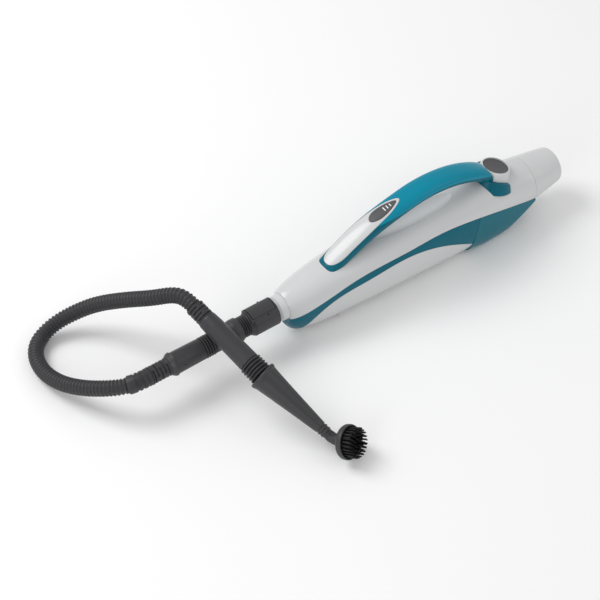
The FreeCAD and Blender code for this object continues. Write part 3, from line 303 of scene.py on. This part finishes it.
# %% Steam hose
HOSE_RADIUS = 9.3
HOSE_ROOT = 7.8
RING_PITCH = 4.4
WAND_REAR = np.array([-237.0, 4.4, 86.5])
WAND_JOINT = np.array([-221.4, -78.0, 61.0])
wand_axis = (WAND_JOINT - WAND_REAR) / np.linalg.norm(WAND_JOINT - WAND_REAR)
CUFF_LENGTH = 20.0
hose_end = WAND_REAR - wand_axis * CUFF_LENGTH
HOSE_START = np.array([-317.0, 0, 48])
route = np.array([
    HOSE_START, (-333, 0, 48), (-349, 6.5, 45), (-364, 20, 39.5), (-380, 43, 29), (-392, 70, 19),
    (-397, 98, 12), (-394.5, 122, 9.7), (-385.5, 140, 9.7), (-371, 150.5, 11), (-351, 153, 17.5),
    (-329, 145.5, 28.5), (-307, 129.5, 44), (-286, 101, 63), (-267, 70, 81.5), (-250.5, 51.5, 93.5),
    hose_end - wand_axis * 15, hose_end]) / 1000
guide = bpy.data.curves.new("hose_guide", "CURVE")
guide.dimensions = "3D"
guide.resolution_u = 24
line = guide.splines.new("NURBS")
line.points.add(len(route) - 1)
line.points.foreach_set("co", np.column_stack([route, np.ones(len(route))]).ravel())
line.order_u = 3
line.use_endpoint_u = True
guide_object = bpy.data.objects.new("hose_guide", guide)
bpy.context.scene.collection.objects.link(guide_object)
bpy.context.view_layer.update()
sampled = bpy.data.meshes.new_from_object(guide_object)
spine = np.zeros(len(sampled.vertices) * 3)
sampled.vertices.foreach_get("co", spine)
spine = spine.reshape(-1, 3)
bpy.data.objects.remove(guide_object)
steps = np.linalg.norm(np.diff(spine, axis=0), axis=1)
travel = np.concatenate([[0], np.cumsum(steps)])
spine = spine[np.concatenate([[True], steps > 1e-7])]
travel = travel[np.concatenate([[True], steps > 1e-7])]
hose_length = travel[-1]
print("hose length", round(hose_length, 4), "m")


def along_hose(distance):
    """Points and directions at distances along the hose's spine, each worked out between its samples."""
    place = np.stack([np.interp(distance, travel, spine[:, k]) for k in range(3)], 1)
    ahead = np.gradient(place, axis=0)
    return place, ahead / np.linalg.norm(ahead, axis=1)[:, None]


loop_normal = np.linalg.svd(spine - spine.mean(0))[2][2]


def hose_rings(distance, radius):
    """Rings square to the spine: place + radius * (side cos t + crown sin t); radius is in millimetres."""
    place, ahead = along_hose(distance)
    side = np.cross(ahead, loop_normal)
    side /= np.linalg.norm(side, axis=1)[:, None]
    crown = np.cross(ahead, side)
    t = np.linspace(0, 2 * math.pi, SEGMENTS, endpoint=False)
    circle = np.cos(t)[None, :, None] * side[:, None] + np.sin(t)[None, :, None] * crown[:, None]
    radius = np.asarray(radius)
    radius = radius[:, None] if radius.ndim == 1 else radius
    return place[:, None] + 0.001 * radius[:, :, None] * circle


RING_SAMPLES = 9
ring_count = int(hose_length * 1000 / RING_PITCH)
hose_pitch = hose_length * 1000 / ring_count
distance = np.linspace(0, hose_length, ring_count * RING_SAMPLES + 1)
ring_radius = rib_wave(distance * 1000, hose_pitch, HOSE_ROOT, HOSE_RADIUS, 0.8)
hose = grid_piece("steam_hose_rings", hose_rings(distance, ring_radius), "hose_satin", "unit",
                  crease=80.0)
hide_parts("steam_hose")
print(ring_count, "rings")

# %% [markdown]
# Each end of the hose is held by a straight, slotted rubber cuff, and at the front a banded tail follows
# the hose round its first bend. Pairs of slots are cut part of the way round, each row turned a quarter
# from the last. The slots are pressed into the turned surface by scaling its radius in a window of
# distance and angle.

# %% Slotted cuffs


def window(value, low, high, edge):
    """1 between low and high, falling to 0 over edge outside, as a product of two smooth steps."""
    rise = np.clip((value - low) / edge + 1, 0, 1)
    fall = np.clip((high - value) / edge + 1, 0, 1)
    return (rise * rise * (3 - 2 * rise)) * (fall * fall * (3 - 2 * fall))


def slot_scale(distance, pitch, depth, first=0.0):
    """Radius share: 1 - depth in a slot; two slots to a row, a row every pitch, turned 90 degrees each."""
    t = np.linspace(0, 2 * math.pi, SEGMENTS, endpoint=False)
    row = np.floor((distance - first) / pitch)
    phase = (distance - first) / pitch - row
    deep = window(phase, 0.34, 0.66, 0.10)
    turn = np.abs(np.cos(t[None, :] + row[:, None] * math.pi / 2))
    return 1 - depth * deep[:, None] * window(turn, 0.38, 2.0, 0.12)


SLOT_DEPTH = 0.16
FRONT_CUFF_LENGTH = 24.0
BACKWARD = np.array([-1.0, 0, 0])
front_foot = (HOSE_START - FRONT_CUFF_LENGTH * BACKWARD) / 1000
front_distance = np.linspace(0.3, FRONT_CUFF_LENGTH, 160)
front_lips = (window(front_distance, 0.0, 1.6, 0.5)
              + window(front_distance, FRONT_CUFF_LENGTH - 2.2, FRONT_CUFF_LENGTH, 0.6))
front_profile = np.column_stack([front_distance, 10.5 + 0.3 * front_lips])
front_slots = slot_scale(front_distance, 4.6, SLOT_DEPTH, 1.2)
front_cuff = grid_piece("cuff_front", turned_rings(front_profile, front_foot, BACKWARD, front_slots),
                        "hose_satin", "unit")
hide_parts("hose_cuff_front")

rear_distance = np.linspace(-CUFF_LENGTH, -0.1, 150)
rear_radius = 10.6 + 0.35 * window(rear_distance, -CUFF_LENGTH, -18.2, 0.5)
rear_profile = np.column_stack([rear_distance, rear_radius])
rear_slots = slot_scale(rear_distance, 4.4, SLOT_DEPTH, -17.6)
rear_cuff = grid_piece("cuff_rear", turned_rings(rear_profile, WAND_REAR / 1000, wand_axis, rear_slots),
                       "hose_satin", "unit")
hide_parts("hose_cuff_rear")

# The tail is a row of bands: where each starts and stops, how far it stands out and its edge.
TAIL_BANDS = ((0.0, 4.2, 1.0, 0.4), (6.6, 10.2, 1.0, 0.4), (13.0, 15.6, 1.1, 0.4), (18.4, 26.0, 1.15, 0.6))
tail_distance = np.linspace(0.4, 27.0, 150)
tail_radius = 9.5 + sum(rise * window(tail_distance, low, high, edge)
                        for low, high, rise, edge in TAIL_BANDS)
cuff_tail = grid_piece("cuff_tail", hose_rings(tail_distance / 1000, tail_radius), "hose_satin", "unit")

# %% [markdown]
# Ribbed rubber sleeves join the rigid parts of the chain. They are turned waves, deeper and
# slower than the hose's own rings.

# %% Ribbed sleeves


def ribbed_sleeve(name, node, start, end, count, root, crest, origin, direction):
    """Turned rib wave from start to end along direction, count ribs, replacing the plain node."""
    span = np.linspace(start, end, count * 16 + 1)
    radius = rib_wave(span - start, (end - start) / count, root, crest, 0.55)
    rings = turned_rings(np.column_stack([span, radius]), origin, direction)
    sleeve = grid_piece(name, rings, "hose_satin", "unit", crease=80.0)
    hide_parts(node)
    return sleeve


OUTLET = np.array([-0.150, 0, 0.048])
ribbed_sleeve("coupler_ribs", "coupler_bellows", 38, 47, 3, 10.9, 12.95, OUTLET, BACKWARD)
ribbed_sleeve("adapter_ribs", "adapter_bellows", 85, 98, 4, 10.6, 13.05, OUTLET, BACKWARD)
wand_length = np.linalg.norm(WAND_JOINT - WAND_REAR)
wand_ribs = ribbed_sleeve("wand_ribs", "wand_bellows", wand_length - 18, wand_length + 2.0, 5, 11.2, 13.9,
                          WAND_REAR / 1000, wand_axis)

# %% [markdown]
# The wand is a plain handgrip tube with a hardly visible swell. The cone nozzle flares to a
# rolled lip where it meets the ribs and narrows to a collar with two grooves at its tip.

# %% Wand and cone nozzle
wand_profile = soft_profile([
    (0.0, 8.0), (0.0, 10.6), (1.6, 11.2), (14.0, 11.8), (40.0, 12.1), (66.0, 12.4), (69.4, 12.3),
    (69.6, 11.4), (69.6, 8.0)], 0.9, 6)
wand = grid_piece("wand_tube", turned_rings(wand_profile, WAND_REAR / 1000, wand_axis), "charcoal_satin",
                  "unit")
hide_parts("wand_body")
brush_axis = np.array([0.383, -0.822, 0.42])
brush_axis /= np.linalg.norm(brush_axis)
BRUSH_BASE = np.array([-183.4, -180.3, 19.2])
elbow_corner = BRUSH_BASE - brush_axis * 11.0
cone_axis = (elbow_corner - WAND_JOINT) / np.linalg.norm(elbow_corner - WAND_JOINT)
cone_length = np.linalg.norm(elbow_corner - WAND_JOINT) - 9.0
CONE_WIDE = 15.3
CONE_NARROW = 7.2
cone_lip = [(0.6, 9.0), (0.6, 15.2), (1.2, 16.9), (3.0, 17.25), (4.9, 17.0), (6.2, 16.2), (7.5, 15.8)]
flare = np.linspace(cone_lip[-1][0], cone_length - 14.0, 40)
fall = (flare - flare[0]) / (flare[-1] - flare[0])
flare_radius = CONE_WIDE - (CONE_WIDE - CONE_NARROW) * fall + 0.5 * (1 - fall) ** 4
# The collar's distances are measured back from the elbow.
collar = [(13.0, 7.15), (12.6, 6.3), (11.2, 6.3), (10.8, 7.1), (8.6, 7.0), (8.2, 6.2), (6.8, 6.2),
          (6.4, 6.9), (4.2, 6.75), (3.8, 6.1), (0.05, 6.0), (0.05, 4.0)]
collar = [(cone_length - distance_back, radius) for distance_back, radius in collar]
cone_rows = np.vstack([soft_profile(cone_lip, 0.9, 5), np.column_stack([flare, flare_radius])[1:],
                       soft_profile(collar, 0.25, 4)])
cone = grid_piece("cone_shell", turned_rings(cone_rows, WAND_JOINT / 1000, cone_axis), "charcoal_satin",
                  "unit")
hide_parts("cone_nozzle")

# %% [markdown]
# The brush is a shallow cup packed with stiff nylon. Tufts stand in rings and splay a little
# towards their tips. Every strand is a tapered six-sided prism, and all of them share one mesh.

# %% Round brush
cup_profile = soft_profile([
    (-1.6, 5.2), (-1.6, 7.0), (-0.2, 11.5), (0.8, 16.2), (2.4, 18.6), (4.4, 19.8), (8.8, 19.95),
    (9.9, 19.5), (9.9, 18.3), (8.0, 17.9), (6.7, 17.6), (6.6, 4.0)], 0.6, 5)
cup = grid_piece("brush_dish", turned_rings(cup_profile, BRUSH_BASE / 1000, brush_axis), "charcoal_satin",
                 "round_brush")
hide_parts("brush_cup")
rng = np.random.default_rng(7)
TUFT_RINGS = ((16.0, 24), (12.4, 18), (8.6, 12), (4.6, 7))
STRANDS = 7
BRISTLE_RADIUS = 0.52
BRISTLE_LENGTH = 14.0
BRISTLE_FOOT = 6.4
OUTER_RING = TUFT_RINGS[0][0]
CUP_INSIDE = 16.9
tuft_r = np.concatenate([np.full(n, r) for r, n in TUFT_RINGS])
tuft_t = np.concatenate([np.arange(n) * 2 * math.pi / n for r, n in TUFT_RINGS])
strand_r = np.repeat(tuft_r, STRANDS) + rng.normal(0, 0.5, len(tuft_r) * STRANDS)
strand_drift = rng.normal(0, 0.5, len(tuft_r) * STRANDS)
strand_t = np.repeat(tuft_t, STRANDS) + strand_drift / np.repeat(tuft_r, STRANDS)
strand_r = np.clip(strand_r, 0, CUP_INSIDE)
strand_len = BRISTLE_LENGTH + rng.normal(0, 0.25, len(strand_r)) - 0.02 * (OUTER_RING - strand_r)
across, upward = square_to(brush_axis)
outward = np.cos(strand_t)[:, None] * across + np.sin(strand_t)[:, None] * upward
splay = 0.05 * (strand_r / OUTER_RING)[:, None] * outward + rng.normal(0, 0.012, (len(strand_r), 3))
levels = np.array([0.0, 0.5, 0.93, 1.0])
widths = np.array([1.0, 0.95, 0.8, 0.35]) * BRISTLE_RADIUS
corner = np.linspace(0, 2 * math.pi, 6, endpoint=False)
hexagon = np.cos(corner)[:, None] * across + np.sin(corner)[:, None] * upward
foot = BRUSH_BASE + brush_axis * BRISTLE_FOOT + strand_r[:, None] * outward
reach = levels[None, :, None] * strand_len[:, None, None]
spine_points = foot[:, None] + reach * (brush_axis + splay)[:, None]
strand_points = spine_points[:, :, None] + widths[None, :, None, None] * hexagon[None, None]
strand_count = len(strand_r)
base = np.arange(strand_count)[:, None, None] * 24 + np.arange(3)[None, :, None] * 6
side_a = base + np.arange(6)[None, None, :]
side_b = base + (np.arange(6)[None, None, :] + 1) % 6
side_faces = np.stack([side_a, side_b, side_b + 6, side_a + 6], -1).reshape(-1, 4)
tip_faces = np.arange(strand_count)[:, None] * 24 + 18 + np.arange(6)[None, :]
root_faces = np.arange(strand_count)[:, None] * 24 + np.arange(6)[None, ::-1]
tuft_mesh = bpy.data.meshes.new("brush_tufts")
tuft_mesh.from_pydata(strand_points.reshape(-1, 3) / 1000, [],
                      side_faces.tolist() + tip_faces.tolist() + root_faces.tolist())
tuft_mesh.materials.append(finishes["bristle_nylon"])
tufts = bpy.data.objects.new("brush_tufts", tuft_mesh)
bpy.context.scene.collection.objects.link(tufts)
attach(tufts, "round_brush")
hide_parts("brush_bristles")
print(strand_count, "strands")
